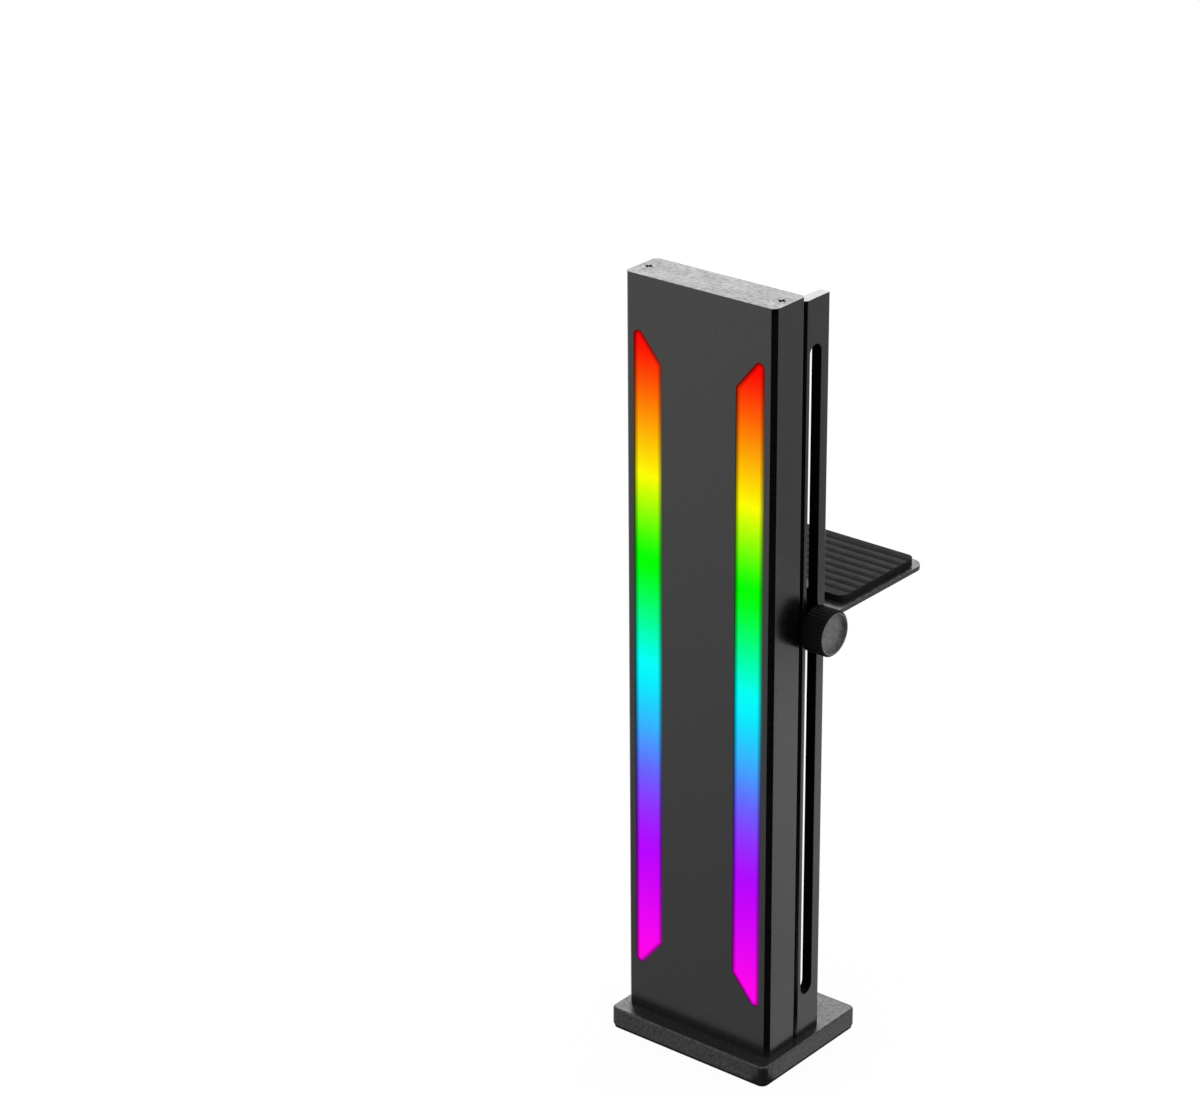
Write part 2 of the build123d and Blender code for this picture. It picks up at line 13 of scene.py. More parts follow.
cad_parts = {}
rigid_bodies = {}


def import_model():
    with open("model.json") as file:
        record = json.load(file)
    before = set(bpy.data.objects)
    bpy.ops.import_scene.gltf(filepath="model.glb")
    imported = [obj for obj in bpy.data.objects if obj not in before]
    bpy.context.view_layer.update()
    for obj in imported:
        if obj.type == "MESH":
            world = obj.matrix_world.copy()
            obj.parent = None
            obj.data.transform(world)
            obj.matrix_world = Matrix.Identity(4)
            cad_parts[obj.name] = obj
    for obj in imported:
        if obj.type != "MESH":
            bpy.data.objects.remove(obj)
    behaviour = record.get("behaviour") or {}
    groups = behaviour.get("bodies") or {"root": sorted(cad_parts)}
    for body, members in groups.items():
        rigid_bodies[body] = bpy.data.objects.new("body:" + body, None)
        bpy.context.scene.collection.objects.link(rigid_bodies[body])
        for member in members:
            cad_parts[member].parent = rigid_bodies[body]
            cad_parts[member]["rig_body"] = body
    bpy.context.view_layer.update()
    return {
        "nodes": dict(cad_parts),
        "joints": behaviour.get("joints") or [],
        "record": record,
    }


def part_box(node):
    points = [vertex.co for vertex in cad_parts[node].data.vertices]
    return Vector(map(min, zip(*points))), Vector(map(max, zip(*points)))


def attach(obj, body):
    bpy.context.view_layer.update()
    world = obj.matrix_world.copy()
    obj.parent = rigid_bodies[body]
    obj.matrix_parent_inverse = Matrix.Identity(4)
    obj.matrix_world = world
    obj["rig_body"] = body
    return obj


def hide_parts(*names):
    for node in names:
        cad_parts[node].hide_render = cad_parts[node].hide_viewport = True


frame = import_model()
record = frame["record"]
node_slots = {part["node"]: part["material_slot"] for part in record["subparts"]}
joints = {joint["name"]: joint for joint in frame["joints"]}

# Finishes: grain sizes and depths, and how far roughness drifts
fine_grain = 0.00035
coarse_grain = 0.0006
drift_size = 0.02
noise_detail = 3.0
noise_range = (0.3, 0.7)
grain_depth = 0.000012
smooth_depth = 0.000006
paint_depth = 0.00003
roughness_drift = 0.04
roughness_grains = 4

# Turned end of the knob
mottle_size = 0.001
mottle_share = 0.5
ring_spacing = 0.00035
ring_depth = 0.000006

# Circuit board: spacing of its tracks, their width as shares of it, and the colours on and off them
track_spacing = 0.0022
track_edges = (0.04, 0.08)
track_colour = (0.02, 0.12, 0.06, 1.0)
mask_colour = (0.01, 0.07, 0.035, 1.0)

# How near to the sides the panel's and the housing's edges are told apart, and how near to the
# screws the cap's and the rail's edges stay sharp
panel_side_reach = 0.0015
housing_side_reach = 0.0012
cap_screw_reach = 0.003
cap_end_reach = 0.0003
rail_screw_reach = 0.004

# Rail: its right wall, and the reach of the slot from its front and below its top, which bound the painted
# shade inside the slot
rail_wall = 0.0025
rail_slot = (0.0013, 0.0053)
rail_slot_drop = 0.005

# Easing of edges
sheet_easing = 0.00015
window_easing = 0.00012
block_easing = 0.0002
screw_easing = 0.00006
sharp_angle = math.radians(32)
flat_angle = math.radians(0.5)
smooth_angle = math.radians(38)
weld_distance = 0.000002
margin = 0.0001

# Light strips: each ring's width, and the light at its outer edge
strip_rings = ((0.0005, 0.15), (0.00055, 0.56))
strip_edge_drop = 0.0001
strip_level = 1.0
strip_cloud = 0.97

# Hue in degrees and saturation at each share of a strip's height, from its foot to its head
strip_colours = (
    (0.00, 307, 1.0),
    (0.05, 304, 1.0),
    (0.20, 283, 0.98),
    (0.27, 268, 0.8),
    (0.325, 244, 0.62),
    (0.40, 203, 0.78),
    (0.47, 183, 0.96),
    (0.50, 178, 1.0),
    (0.65, 120, 1.0),
    (0.775, 60, 1.0),
    (0.965, 4, 1.0),
    (1.00, 0, 1.0),
)
display_gamma = 2.2

# Thumb knob: its knurl and edges
knob_bevel = 0.0004
knob_rim = 0.0004
knob_recess = 0.0008
knob_easing = 0.00008
knurl_count = 35
knurl_radius = 0.0004
knurl_offset = 0.0002
knurl_steps = 12

# Thread of the clamp stud
thread_pitch = 0.0005
thread_depth = 0.00025
thread_steps = 8
thread_sides = 32

# Grooves across the rubber pad
pad_groove_spacing = 0.003
pad_groove_width = 0.0009
pad_groove_depth = 0.0004

# Camera, placed by the lines of the bracket in the photograph
camera_place = Vector((0.42988, -0.56470, 0.42358))
camera_azimuth = math.radians(39.554)
camera_elevation = math.radians(23.562)
camera_roll = math.radians(-0.500)
camera_lens = 112.427
camera_sensor = 36.0
camera_clip = (0.01, 20.0)

# Light
surround_level = 1.0
overhead_level = 3.4
overhead_size = (0.9, 0.6)
overhead_distance = 1.5
floor_size = 6.0
floor_own_light = 0.95
floor_colour = 0.8

# A dark card in the studio at the front right, which glossy faces mirror: its direction, the angles from
# it at which the card starts to fade and ends, the upward slopes between which it ends, and how far inside
# the base's near corner it starts. Close to that corner it spans larger angles, as painted shadow of the
# base in the floor that glossy faces mirror.
card_direction = math.radians(-37)
card_angles = (math.radians(20), math.radians(32))
corner_shadow_angles = (math.radians(60), math.radians(72))
corner_shadow_reach = (0.025, 0.045)
card_level = 0.0
card_top = (0.15, 0.45)
card_inset = (0.00375, 0.00215)

# What glossy faces mirror in the floor: a distance along the camera's line, towards the camera's
# left front, and the level there. The low levels close to the bracket on that side are painted shadow of
# the bracket in the mirrored floor.
mirrored_reach = 0.45
mirrored_levels = (
    (-0.43, 0.54),
    (-0.344, 0.48),
    (-0.235, 0.47),
    (-0.205, 0.98),
    (-0.175, 0.98),
    (-0.107, 0.87),
    (-0.06, 0.78),
    (-0.004, 0.76),
    (0.004, 0.54),
    (0.04, 0.545),
    (0.067, 0.563),
    (0.14, 0.638),
    (0.228, 0.72),
    (0.331, 0.84),
    (0.425, 0.936),
)


def grey(level):
    """A neutral colour of the given linear level."""
    return (level, level, level, 1.0)


def new_material(name):
    """A node material, with its tree and its Principled shader."""
    material = bpy.data.materials.new(name)
    material.use_nodes = True
    tree = material.node_tree
    return material, tree, tree.nodes["Principled BSDF"]


def object_place(tree):
    """The socket with a point's place in the row frame."""
    return tree.nodes.new("ShaderNodeTexCoord").outputs["Object"]


def vector_step(tree, operation, first, second):
    """The node of a vector operation on a socket and a socket or a fixed vector."""
    node = tree.nodes.new("ShaderNodeVectorMath")
    node.operation = operation
    tree.links.new(first, node.inputs[0])
    if isinstance(second, tuple):
        node.inputs[1].default_value = second
    else:
        tree.links.new(second, node.inputs[1])
    return node


def spread(tree, value, low, high):
    """The socket of a value from 0 to 1 spread over the given range."""
    node = tree.nodes.new("ShaderNodeMapRange")
    node.inputs["To Min"].default_value = low
    node.inputs["To Max"].default_value = high
    tree.links.new(value, node.inputs["Value"])
    return node.outputs["Result"]


def share_of(tree, value, low, high):
    """The socket of how far a value lies between two limits, from 0 to 1."""
    node = tree.nodes.new("ShaderNodeMapRange")
    node.inputs["From Min"].default_value = low
    node.inputs["From Max"].default_value = high
    tree.links.new(value, node.inputs["Value"])
    return node.outputs["Result"]


def noise(tree, place, size):
    """The socket of a noise from 0 to 1, whose features have the given size in metres."""
    node = tree.nodes.new("ShaderNodeTexNoise")
    node.inputs["Scale"].default_value = 1 / size
    node.inputs["Detail"].default_value = noise_detail
    tree.links.new(place, node.inputs["Vector"])
    return share_of(tree, node.outputs["Fac"], *noise_range)


def bump(tree, height, depth, below=None):
    """The socket of a normal roughened by a height from 0 to 1, of the given depth in metres."""
    node = tree.nodes.new("ShaderNodeBump")
    node.inputs["Distance"].default_value = depth
    tree.links.new(height, node.inputs["Height"])
    if below is not None:
        tree.links.new(below, node.inputs["Normal"])
    return node.outputs["Normal"]


def arithmetic(tree, operation, first, second):
    """The socket of a sum or product of two sockets or numbers."""
    node = tree.nodes.new("ShaderNodeMath")
    node.operation = operation
    for socket, value in zip(node.inputs, (first, second)):
        if isinstance(value, (int, float)):
            socket.default_value = value
        else:
            tree.links.new(value, socket)
    return node.outputs["Value"]


def tinted(tree, place, dark, light, size):
    """The socket of a colour that drifts between two colours over the given size."""
    node = tree.nodes.new("ShaderNodeMix")
    node.data_type = "RGBA"
    node.inputs["A"].default_value = dark
    node.inputs["B"].default_value = light
    tree.links.new(noise(tree, place, size), node.inputs["Factor"])
    return node.outputs["Result"]


def ramp(tree, value, stops):
    """The socket of a colour ramp with the given positions and colours."""
    node = tree.nodes.new("ShaderNodeValToRGB")
    elements = node.color_ramp.elements
    while len(elements) < len(stops):
        elements.new(0.5)
    for element, (position, colour) in zip(elements, stops):
        element.position = position
        element.color = colour
    tree.links.new(value, node.inputs["Fac"])
    return node.outputs["Color"]


def grained(
    name,
    level,
    roughness,
    grain,
    depth,
    ior=1.5,
    specular=0.5,
    metallic=0.0,
    tint=(1, 1, 1),
    stretch=1.0,
    mottle=0.15,
    speckle=0.1,
):
    """A fine-grained finish whose colour and gloss drift a little, stretched along X if brushed."""
    material, tree, shader = new_material(name)
    place = object_place(tree)
    fine = vector_step(tree, "MULTIPLY", place, (1 / stretch, 1.0, 1.0)).outputs["Vector"]
    dark = tuple(level * share * (1 - mottle) for share in tint) + (1.0,)
    light = tuple(level * share * (1 + mottle) for share in tint) + (1.0,)
    tree.links.new(tinted(tree, place, dark, light, drift_size), shader.inputs["Base Color"])
    patches = noise(tree, fine, grain * roughness_grains)
    rough = spread(tree, patches, roughness - roughness_drift, roughness + roughness_drift)
    tree.links.new(rough, shader.inputs["Roughness"])
    tree.links.new(bump(tree, noise(tree, fine, grain), depth), shader.inputs["Normal"])
    gloss = spread(tree, noise(tree, fine, grain), specular * (1 - speckle), specular * (1 + speckle))
    tree.links.new(gloss, shader.inputs["Specular IOR Level"])
    shader.inputs["IOR"].default_value = ior
    shader.inputs["Metallic"].default_value = metallic
    return material


def turned(name, level, roughness, centre, ior):
    """A turned face, with fine rings round an axis along X."""
    material, tree, shader = new_material(name)
    place = object_place(tree)
    offset = vector_step(tree, "SUBTRACT", place, tuple(centre)).outputs["Vector"]
    across = vector_step(tree, "MULTIPLY", offset, (0.0, 1.0, 1.0)).outputs["Vector"]
    radius = vector_step(tree, "LENGTH", across, (0.0, 0.0, 0.0)).outputs["Value"]
    turns = arithmetic(tree, "MULTIPLY", radius, 2 * math.pi / ring_spacing)
    rings = share_of(tree, arithmetic(tree, "SINE", turns, 0.0), -1.0, 1.0)
    normal = bump(tree, rings, ring_depth, bump(tree, noise(tree, place, coarse_grain), paint_depth))
    tree.links.new(normal, shader.inputs["Normal"])
    dark = grey(level * (1 - mottle_share))
    light = grey(level * (1 + mottle_share))
    colour = tinted(tree, place, dark, light, mottle_size)
    tree.links.new(colour, shader.inputs["Base Color"])
    shader.inputs["Roughness"].default_value = roughness
    shader.inputs["IOR"].default_value = ior
    return material


def circuit_material():
    """Green solder mask with a faint pattern of copper tracks below it."""
    material, tree, shader = new_material("circuit_board")
    place = object_place(tree)
    cells = tree.nodes.new("ShaderNodeTexVoronoi")
    cells.feature = "DISTANCE_TO_EDGE"
    cells.inputs["Scale"].default_value = 1 / track_spacing
    tree.links.new(place, cells.inputs["Vector"])
    inner, outer = track_edges
    tracks = ramp(tree, cells.outputs["Distance"], ((inner, track_colour), (outer, mask_colour)))
    tree.links.new(tracks, shader.inputs["Base Color"])
    tree.links.new(bump(tree, noise(tree, place, fine_grain), grain_depth), shader.inputs["Normal"])
    shader.inputs["Roughness"].default_value = 0.3
    return material


def strip_material(low, high):
    """The lit strip: a rainbow up its height, dimmer along its border."""
    material, tree, shader = new_material("light_diffuser")
    place = object_place(tree)
    axes = tree.nodes.new("ShaderNodeSeparateXYZ")
    tree.links.new(place, axes.inputs["Vector"])
    height = share_of(tree, axes.outputs["Z"], low, high)
    stops = []
    for share, hue, saturation in strip_colours:
        stops.append((share, colorsys.hsv_to_rgb(hue / 360, saturation, 1) + (1.0,)))
    display = tree.nodes.new("ShaderNodeGamma")
    display.inputs["Gamma"].default_value = display_gamma
    tree.links.new(ramp(tree, height, stops), display.inputs["Color"])
    border = tree.nodes.new("ShaderNodeAttribute")
    border.attribute_name = "lit"
    cloud = spread(tree, noise(tree, place, coarse_grain), strip_cloud, 1.0)
    level = arithmetic(tree, "MULTIPLY", border.outputs["Fac"], cloud)
    colour = tree.nodes.new("ShaderNodeVectorMath")
    colour.operation = "SCALE"
    tree.links.new(display.outputs["Color"], colour.inputs["Vector"])
    tree.links.new(level, colour.inputs["Scale"])
    tree.links.new(colour.outputs["Vector"], shader.inputs["Emission Color"])
    shader.inputs["Emission Strength"].default_value = strip_level
    shader.inputs["Base Color"].default_value = grey(0.001)
    shader.inputs["Roughness"].default_value = 0.35
    shader.inputs["Specular IOR Level"].default_value = 0.01
    return material


knob_centre = Vector(joints["knob_turn"]["pos_m"])
window_low, window_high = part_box("diffuser_left")

# The finish of each slot: level of its colour, roughness, size and depth of its grain, and more
finishes = {
    "grey_paint": dict(
        level=0.008, roughness=0.40, grain=coarse_grain, depth=grain_depth, ior=1.6, speckle=0.5
    ),
    "black_rubber": dict(level=0.006, roughness=0.75, grain=coarse_grain, depth=paint_depth, specular=0.2),
    "magnet_plating": dict(level=0.62, roughness=0.18, grain=fine_grain, depth=grain_depth, metallic=1.0),
    "black_screw": dict(level=0.03, roughness=0.34, grain=fine_grain, depth=grain_depth, ior=1.6),
    "dark_anodised": dict(level=0.0015, roughness=0.22, grain=fine_grain, depth=smooth_depth, ior=1.65),
    "black_panel": dict(level=0.0015, roughness=0.28, grain=fine_grain, depth=smooth_depth, ior=1.65),
    "led_package": dict(
        level=0.75, roughness=0.35, grain=fine_grain, depth=grain_depth, tint=(1.0, 0.98, 0.88)
    ),
    "black_moulding": dict(level=0.010, roughness=0.55, grain=fine_grain, depth=grain_depth, specular=0.3),
    "socket_moulding": dict(
        level=0.62, roughness=0.45, grain=fine_grain, depth=grain_depth, tint=(1.0, 0.96, 0.85)
    ),
    "contact_brass": dict(
        level=0.85,
        roughness=0.22,
        grain=fine_grain,
        depth=grain_depth,
        metallic=1.0,
        tint=(1.0, 0.74, 0.36),
    ),
    "knob_black": dict(level=0.003, roughness=0.55, grain=fine_grain, depth=grain_depth, specular=0.08),
    "steel_stud": dict(level=0.45, roughness=0.28, grain=fine_grain, depth=grain_depth, metallic=1.0),
}
materials = {slot: grained(slot, **finish) for slot, finish in finishes.items()}
materials["light_diffuser"] = strip_material(window_low.z, window_high.z)
materials["circuit_board"] = circuit_material()

# Finishes of single faces, and the painted shade in the rail's slot
brushed_cap = grained(
    "brushed_cap",
    level=0.008,
    roughness=0.34,
    grain=coarse_grain,
    depth=grain_depth,
    ior=1.6,
    stretch=2.0,
    speckle=0.8,
)
# Painted shade: near-black on the inner faces of the rail's slot, standing in for the shade inside it
slot_painted_shade = grained(
    "slot_painted_shade", level=0.0015, roughness=0.6, grain=fine_grain, depth=grain_depth, specular=0.03
)
knob_end = turned("knob_end", level=0.075, roughness=0.34, centre=knob_centre, ior=1.7)


def dress(piece, node):
    """The piece stands for the node: it rides on the node's body and has its finish."""
    slot = node_slots[node]
    if not piece.data.materials:
        piece.data.materials.append(materials[slot])
    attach(piece, frame["nodes"][node]["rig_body"])
    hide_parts(node)
    return piece


def piece_from(shape, name):
    """An object from a bmesh, smooth apart from its sharp edges."""
    for face in shape.faces:
        face.smooth = True
    for edge in shape.edges:
        edge.smooth = len(edge.link_faces) == 2 and edge.calc_face_angle(math.pi) < smooth_angle
    mesh = bpy.data.meshes.new(name)
    shape.to_mesh(mesh)
    shape.free()
    piece = bpy.data.objects.new(name, mesh)
    bpy.context.scene.collection.objects.link(piece)
    return piece


def flatten_shading(piece):
    """Large flat faces keep their own normals beside eased edges."""
    weighted = piece.modifiers.new("flat_faces", "WEIGHTED_NORMAL")
    weighted.keep_sharp = True
    weighted.weight = 100
    return piece


def copied_shape(node):
    """A bmesh of the node's mesh with welded corners and whole flat faces."""
    shape = bmesh.new()
    shape.from_mesh(frame["nodes"][node].data)
    bmesh.ops.remove_doubles(shape, verts=shape.verts, dist=weld_distance)
    bmesh.ops.dissolve_limit(
        shape, angle_limit=flat_angle, verts=shape.verts, edges=shape.edges, use_dissolve_boundaries=False
    )
    return shape


def every_place(place):
    """True for any place."""
    return True


def ease(shape, width, chosen):
    """Round the sharp edges whose middle is chosen."""
    edges = []
    for edge in shape.edges:
        if len(edge.link_faces) == 2 and edge.calc_face_angle(0.0) > sharp_angle:
            if chosen((edge.verts[0].co + edge.verts[1].co) / 2):
                edges.append(edge)
    bmesh.ops.bevel(
        shape,
        geom=edges,
        offset=width,
        offset_type="OFFSET",
        segments=2,
        profile=0.5,
        affect="EDGES",
        clamp_overlap=True,
        loop_slide=True,
    )


def shade(piece, material, test):
    """Give the faces that pass the test, by centre and normal, another material."""
    piece.data.materials.append(material)
    index = len(piece.data.materials) - 1
    for face in piece.data.polygons:
        if test(face.center, face.normal):
            face.material_index = index


def build_eased(node, width, chosen=every_place):
    """A node with its chosen edges eased."""
    shape = copied_shape(node)
    ease(shape, width, chosen)
    return dress(flatten_shading(piece_from(shape, node + "_finished")), node)


def build_front_panel():
    """The panel, with eased windows and a top edge that meets the cap closely."""
    low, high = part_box("front_panel")
    flat_reach = high.x - panel_side_reach

    def chosen(place):
        at_ends = place.z > high.z - margin or place.z < low.z + margin
        return not at_ends and place.y < low.y + margin and abs(place.x) < flat_reach

    return build_eased("front_panel", window_easing, chosen)


def build_diffuser(node):
    """A light strip with a sunk border that fades out in rings."""
    shape = copied_shape(node)
    lit = shape.verts.layers.float.new("lit")
    front = min(shape.faces, key=lambda face: (round(face.calc_center_median().y, 5), -face.calc_area()))
    for vertex in front.verts:
        vertex.co.y += strip_edge_drop
    for width, level in strip_rings:
        for vertex in front.verts:
            vertex[lit] = level
        bmesh.ops.inset_individual(shape, faces=[front], thickness=width, use_even_offset=True)
        for vertex in front.verts:
            vertex.co.y -= strip_edge_drop / len(strip_rings)
    for vertex in front.verts:
        vertex[lit] = 1.0
    return dress(piece_from(shape, node + "_finished"), node)


def build_housing():
    """The light housing, its outer edges eased where nothing lies against them."""
    low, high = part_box("light_housing")

    def chosen(place):
        at_ends = place.z > high.z - margin or place.z < low.z + margin
        at_side = abs(place.x) > high.x - housing_side_reach
        return at_side and not at_ends and place.y > low.y + margin

    return build_eased("light_housing", sheet_easing, chosen)


def build_cap():
    """The cap: an eased top edge and a brushed top."""
    low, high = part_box("top_cap")
    centre_line = (low.y + high.y) / 2

    def chosen(place):
        inside = high.x / 2 < abs(place.x) < high.x - cap_end_reach
        near_screw = inside and abs(place.y - centre_line) < cap_screw_reach
        return place.z > high.z - margin and not near_screw

    piece = build_eased("top_cap", sheet_easing, chosen)
    shade(piece, brushed_cap, lambda centre, normal: normal.z > 0.5)
    return piece


def build_rail():
    """The rail, with eased edges and painted shade: matt black on the inner faces round its slot, where
    shade falls.
    """
    low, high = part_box("rail")
    slot_front, slot_back = (low.y + reach for reach in rail_slot)
    slot_top = high.z - rail_slot_drop

    def chosen(place):
        clear = place.z > low.z + margin and place.y > low.y + margin
        return clear and abs(place.x) > rail_screw_reach

    # The slot's inner faces, which take the painted shade
    def slot_shade_faces(centre, normal):
        in_wall = high.x - rail_wall + margin < centre.x < high.x - margin
        within = slot_front < centre.y < slot_back and centre.z < slot_top
        return in_wall and within and abs(normal.x) < 0.5

    piece = build_eased("rail", sheet_easing, chosen)
    # Painted shade on the slot's inner faces
    shade(piece, slot_painted_shade, slot_shade_faces)
    return piece


def build_base():
    """The base plate with eased upper edges, and its pad."""
    low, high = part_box("base_plate")
    build_eased("base_plate", sheet_easing, lambda place: place.z > (low.z + high.z) / 2)
    build_eased("base_pad", sheet_easing)


def build_pad():
    """The rubber pad, with grooves across its top."""
    low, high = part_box("arm_pad")
    shape = copied_shape("arm_pad")
    count = int((high.y - low.y) / pad_groove_spacing)
    first = (low.y + high.y - (count - 1) * pad_groove_spacing) / 2
    middles = [first + index * pad_groove_spacing for index in range(count)]
    for middle in middles:
        for place in (middle - pad_groove_width / 2, middle, middle + pad_groove_width / 2):
            bmesh.ops.bisect_plane(
                shape,
                geom=shape.verts[:] + shape.edges[:] + shape.faces[:],
                plane_co=(0, place, 0),
                plane_no=(0, 1, 0),
            )
    for vertex in shape.verts:
        at_middle = any(abs(vertex.co.y - middle) < weld_distance for middle in middles)
        if at_middle and vertex.co.z > high.z - margin:
            vertex.co.z -= pad_groove_depth
    return dress(piece_from(shape, "arm_pad_finished"), "arm_pad")


def add_ring(shape, along, reach_at, sides):
    """A ring of vertices round the knob's axis, with the reach that each angle has."""
    ring = []
    for side in range(sides):
        angle = 2 * math.pi * side / sides
        reach = reach_at(angle)
        place = (along, knob_centre.y + reach * math.cos(angle), knob_centre.z + reach * math.sin(angle))
        ring.append(shape.verts.new(place))
    return ring


def skin(shape, rings):
    """Faces between the rings, and one over each end."""
    for first, second in zip(rings, rings[1:]):
        for side in range(len(first)):
            after = (side + 1) % len(first)
            shape.faces.new((first[side], first[after], second[after], second[side]))
    shape.faces.new(rings[-1])
    shape.faces.new(list(reversed(rings[0])))
    bmesh.ops.recalc_face_normals(shape, faces=shape.faces)


def knurled(angle, radius):
    """The reach of a round-grooved knurl at an angle."""
    centre = radius + knurl_offset
    part = (angle * knurl_count / (2 * math.pi)) % 1.0 - 0.5
    side = centre * math.sin(part * 2 * math.pi / knurl_count)
    if abs(side) >= knurl_radius:
        return radius
    return min(radius, centre - math.sqrt(knurl_radius**2 - side**2))


def build_knob():
    """The thumb knob: a straight knurl between two bevels, and a turned end with a shallow recess."""
    low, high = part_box("thumb_knob")
    radius = (high.z - low.z) / 2
    length = high.x - low.x
    inner = radius - knob_bevel
    hollow = inner - knob_rim
    eased = knob_easing
    profile = (
        (0.0, inner),
        (knob_bevel - eased, radius - eased),
        (knob_bevel + eased, radius),
        (length - knob_bevel - eased, radius),
        (length - knob_bevel + eased, radius - eased),
        (length - eased, inner + eased / 2),
        (length, inner - eased),
        (length, hollow + eased),
        (length - eased, hollow),
        (length - knob_recess + eased, hollow),
        (length - knob_recess, hollow - eased),
    )
    shape = bmesh.new()
    sides = knurl_count * knurl_steps
    rings = []
    for along, reach in profile:

        def reach_at(angle):
            return min(reach, knurled(angle, radius))

        rings.append(add_ring(shape, low.x + along, reach_at, sides))
    skin(shape, rings)
    piece = dress(piece_from(shape, "thumb_knob_finished"), "thumb_knob")

    def at_end(centre, normal):
        reach = math.hypot(centre.y - knob_centre.y, centre.z - knob_centre.z)
        return centre.x > low.x + length / 2 and reach < inner - eased

    shade(piece, knob_end, at_end)
    return piece


def build_stud():
    """The clamp stud with its thread."""
    low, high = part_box("clamp_stud")
    radius = (high.z - low.z) / 2
    step = thread_pitch / thread_steps
    count = int((high.x - low.x) / step)
    shape = bmesh.new()
    rings = []
    for index in range(count + 1):
        along = low.x + min(index * step, high.x - low.x)
        lead = min(1.0, min(index, count - index) / thread_steps)

        def reach_at(angle):
            turn = (along / thread_pitch - angle / (2 * math.pi)) % 1.0
            flank = abs(2 * turn - 1)
            return radius - thread_depth * (1 - lead * flank)

        rings.append(add_ring(shape, along, reach_at, thread_sides))
    skin(shape, rings)
    return dress(piece_from(shape, "clamp_stud_finished"), "clamp_stud")


def build_all():
    """Every piece that can be seen, in its finish."""
    build_front_panel()
    build_diffuser("diffuser_left")
    build_diffuser("diffuser_right")
    build_housing()
    build_cap()
    build_rail()
    build_base()
    build_knob()
    build_stud()
    build_pad()
    build_eased("support_arm", sheet_easing)
    build_eased("slider_block", block_easing)
    build_eased("foot_block", block_easing)
    build_eased("power_socket", screw_easing)
    build_eased("clamp_washer", screw_easing)
    for node in ("top_cap_screws", "rail_screws", "arm_screws", "foot_screw", "base_screws"):
        build_eased(node, screw_easing)


def build_camera():
    """The camera of the photograph."""
    lens = bpy.data.cameras.new("camera")
    lens.sensor_fit = "HORIZONTAL"
    lens.sensor_width = camera_sensor
    lens.lens = camera_lens
    lens.clip_start, lens.clip_end = camera_clip
    camera = bpy.data.objects.new("camera", lens)
    bpy.context.scene.collection.objects.link(camera)
    camera.matrix_world = (
        Matrix.Translation(camera_place)
        @ Matrix.Rotation(camera_azimuth, 4, "Z")
        @ Matrix.Rotation(math.pi / 2 - camera_elevation, 4, "X")
        @ Matrix.Rotation(camera_roll, 4, "Z")
    )
    bpy.context.scene.camera = camera


def card_share(tree, place, angles):
    """The socket of how much of a dark card lies that way from the origin, from 0 to 1."""
    level = vector_step(tree, "MULTIPLY", place, (1.0, 1.0, 0.0)).outputs["Vector"]
    way = vector_step(tree, "NORMALIZE", level, (0.0, 0.0, 0.0)).outputs["Vector"]
    towards = (math.cos(card_direction), math.sin(card_direction), 0.0)
    nearness = vector_step(tree, "DOT_PRODUCT", way, towards).outputs["Value"]
    inner, outer = angles
    return share_of(tree, nearness, math.cos(outer), math.cos(inner))


def build_world():
    """An even white surround, with the dark card for glossy faces alone."""
    world = bpy.data.worlds.new("surround")
    world.use_nodes = True
    tree = world.node_tree
    background = tree.nodes["Background"]
    background.inputs["Strength"].default_value = surround_level
    direction = tree.nodes.new("ShaderNodeTexCoord").outputs["Generated"]
    path = tree.nodes.new("ShaderNodeLightPath")
    axes = tree.nodes.new("ShaderNodeSeparateXYZ")
    tree.links.new(direction, axes.inputs["Vector"])
    above = share_of(tree, axes.outputs["Z"], *card_top)
    card = card_share(tree, direction, card_angles)
    low_share = arithmetic(tree, "MULTIPLY", card, arithmetic(tree, "SUBTRACT", 1.0, above))
    share = arithmetic(tree, "MULTIPLY", low_share, path.outputs["Is Glossy Ray"])
    colour = tree.nodes.new("ShaderNodeMix")
    colour.data_type = "RGBA"
    colour.inputs["A"].default_value = grey(1.0)
    colour.inputs["B"].default_value = grey(card_level)
    tree.links.new(share, colour.inputs["Factor"])
    tree.links.new(colour.outputs["Result"], background.inputs["Color"])
    bpy.context.scene.world = world


def build_overhead():
    """A large soft lamp behind and above, which the top faces mirror towards the camera."""
    low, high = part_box("top_cap")
    across = Vector((-math.sin(camera_azimuth), math.cos(camera_azimuth), 0)) * math.cos(camera_elevation)
    towards = across + Vector((0, 0, math.sin(camera_elevation)))
    lamp = bpy.data.lights.new("overhead", "AREA")
    lamp.shape = "RECTANGLE"
    lamp.size, lamp.size_y = overhead_size
    lamp.energy = overhead_level * math.pi * lamp.size * lamp.size_y
    light = bpy.data.objects.new("overhead", lamp)
    bpy.context.scene.collection.objects.link(light)
    light.location = (low + high) / 2 + towards * overhead_distance
    light.rotation_euler = towards.to_track_quat("Z", "Y").to_euler()
    light.visible_camera = False


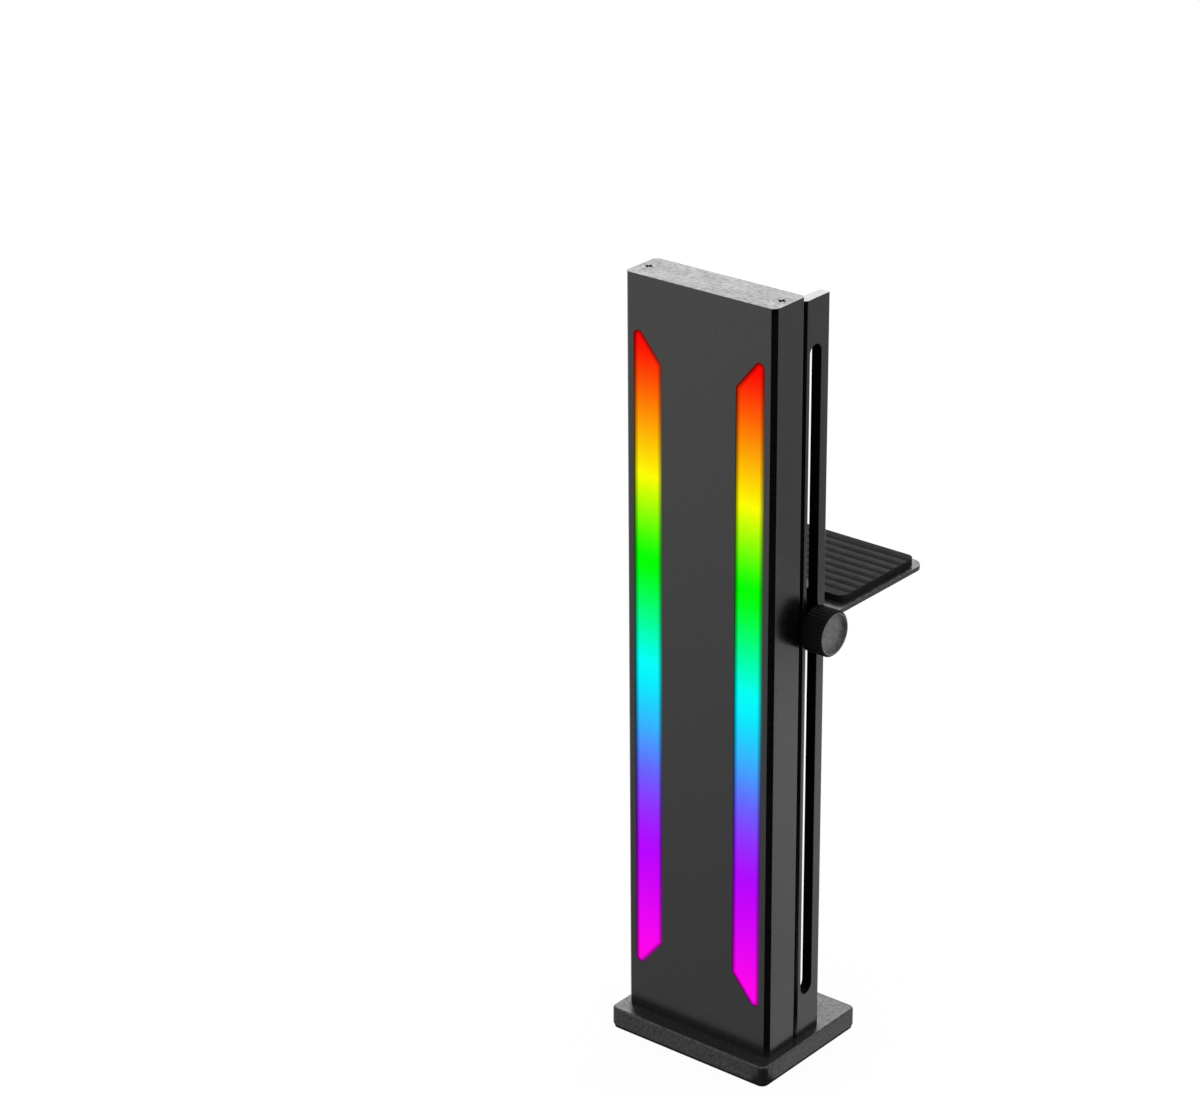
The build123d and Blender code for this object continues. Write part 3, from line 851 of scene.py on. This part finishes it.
def mirrored_floor(tree):
    """The socket of the floor's colour as glossy faces mirror it, with the dark card and painted shadow
    near the base's near corner.
    """
    base_low, base_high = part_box("base_plate")
    near_corner = (base_high.x - card_inset[0], base_low.y + card_inset[1], 0.0)
    place = object_place(tree)
    line = (-math.sin(camera_azimuth), -math.cos(camera_azimuth), 0.0)
    distance = vector_step(tree, "DOT_PRODUCT", place, line).outputs["Value"]
    along = share_of(tree, distance, -mirrored_reach, mirrored_reach)
    stops = [((distance / mirrored_reach + 1) / 2, grey(level)) for distance, level in mirrored_levels]
    colour = tree.nodes.new("ShaderNodeMix")
    colour.data_type = "RGBA"
    colour.inputs["B"].default_value = grey(card_level)
    tree.links.new(ramp(tree, along, stops), colour.inputs["A"])
    # Painted shadow: close to the base's near corner the dark card spans larger angles.
    from_corner = vector_step(tree, "SUBTRACT", place, near_corner).outputs["Vector"]
    corner_distance = vector_step(tree, "LENGTH", from_corner, (0.0, 0.0, 0.0)).outputs["Value"]
    reach_start, reach_end = corner_shadow_reach
    close = share_of(tree, corner_distance, reach_end, reach_start)
    corner_shadow_share = arithmetic(tree, "MULTIPLY", card_share(tree, from_corner, corner_shadow_angles), close)
    card = arithmetic(tree, "MAXIMUM", corner_shadow_share, card_share(tree, from_corner, card_angles))
    tree.links.new(card, colour.inputs["Factor"])
    return colour.outputs["Result"]


def build_floor():
    """A white floor that keeps a soft shadow."""
    mesh = bpy.data.meshes.new("floor")
    half = floor_size / 2
    corners = [(-half, -half, 0), (half, -half, 0), (half, half, 0), (-half, half, 0)]
    mesh.from_pydata(corners, [], [(0, 1, 2, 3)])
    floor = bpy.data.objects.new("floor", mesh)
    bpy.context.scene.collection.objects.link(floor)
    material, tree, shader = new_material("floor_white")
    tree.nodes.remove(shader)
    output = tree.nodes["Material Output"]
    diffuse = tree.nodes.new("ShaderNodeBsdfDiffuse")
    diffuse.inputs["Color"].default_value = grey(1 - floor_own_light)
    own = tree.nodes.new("ShaderNodeEmission")
    own.inputs["Strength"].default_value = floor_own_light
    seen = tree.nodes.new("ShaderNodeAddShader")
    tree.links.new(diffuse.outputs["BSDF"], seen.inputs[0])
    tree.links.new(own.outputs["Emission"], seen.inputs[1])
    # Glossy faces see the floor's painted levels, with painted shadow near the bracket, and not its real
    # shadow.
    mirrored = tree.nodes.new("ShaderNodeEmission")
    tree.links.new(mirrored_floor(tree), mirrored.inputs["Color"])
    plain = tree.nodes.new("ShaderNodeBsdfDiffuse")
    plain.inputs["Color"].default_value = grey(floor_colour)
    path = tree.nodes.new("ShaderNodeLightPath")
    direct = arithmetic(tree, "ADD", path.outputs["Is Camera Ray"], path.outputs["Is Transmission Ray"])
    shaded = tree.nodes.new("ShaderNodeMixShader")
    tree.links.new(direct, shaded.inputs["Fac"])
    tree.links.new(plain.outputs["BSDF"], shaded.inputs[1])
    tree.links.new(seen.outputs["Shader"], shaded.inputs[2])
    choice = tree.nodes.new("ShaderNodeMixShader")
    tree.links.new(path.outputs["Is Glossy Ray"], choice.inputs["Fac"])
    tree.links.new(shaded.outputs["Shader"], choice.inputs[1])
    tree.links.new(mirrored.outputs["Emission"], choice.inputs[2])
    tree.links.new(choice.outputs["Shader"], output.inputs["Surface"])
    mesh.materials.append(material)


def finish_carried_nodes():
    """CAD nodes that stay as they are take their slot's finish."""
    for name, node in frame["nodes"].items():
        for slot in node.material_slots:
            slot.material = materials[node_slots[name]]


finish_carried_nodes()
build_all()
build_camera()
build_world()
build_overhead()
build_floor()
bpy.context.scene.view_settings.view_transform = "Standard"
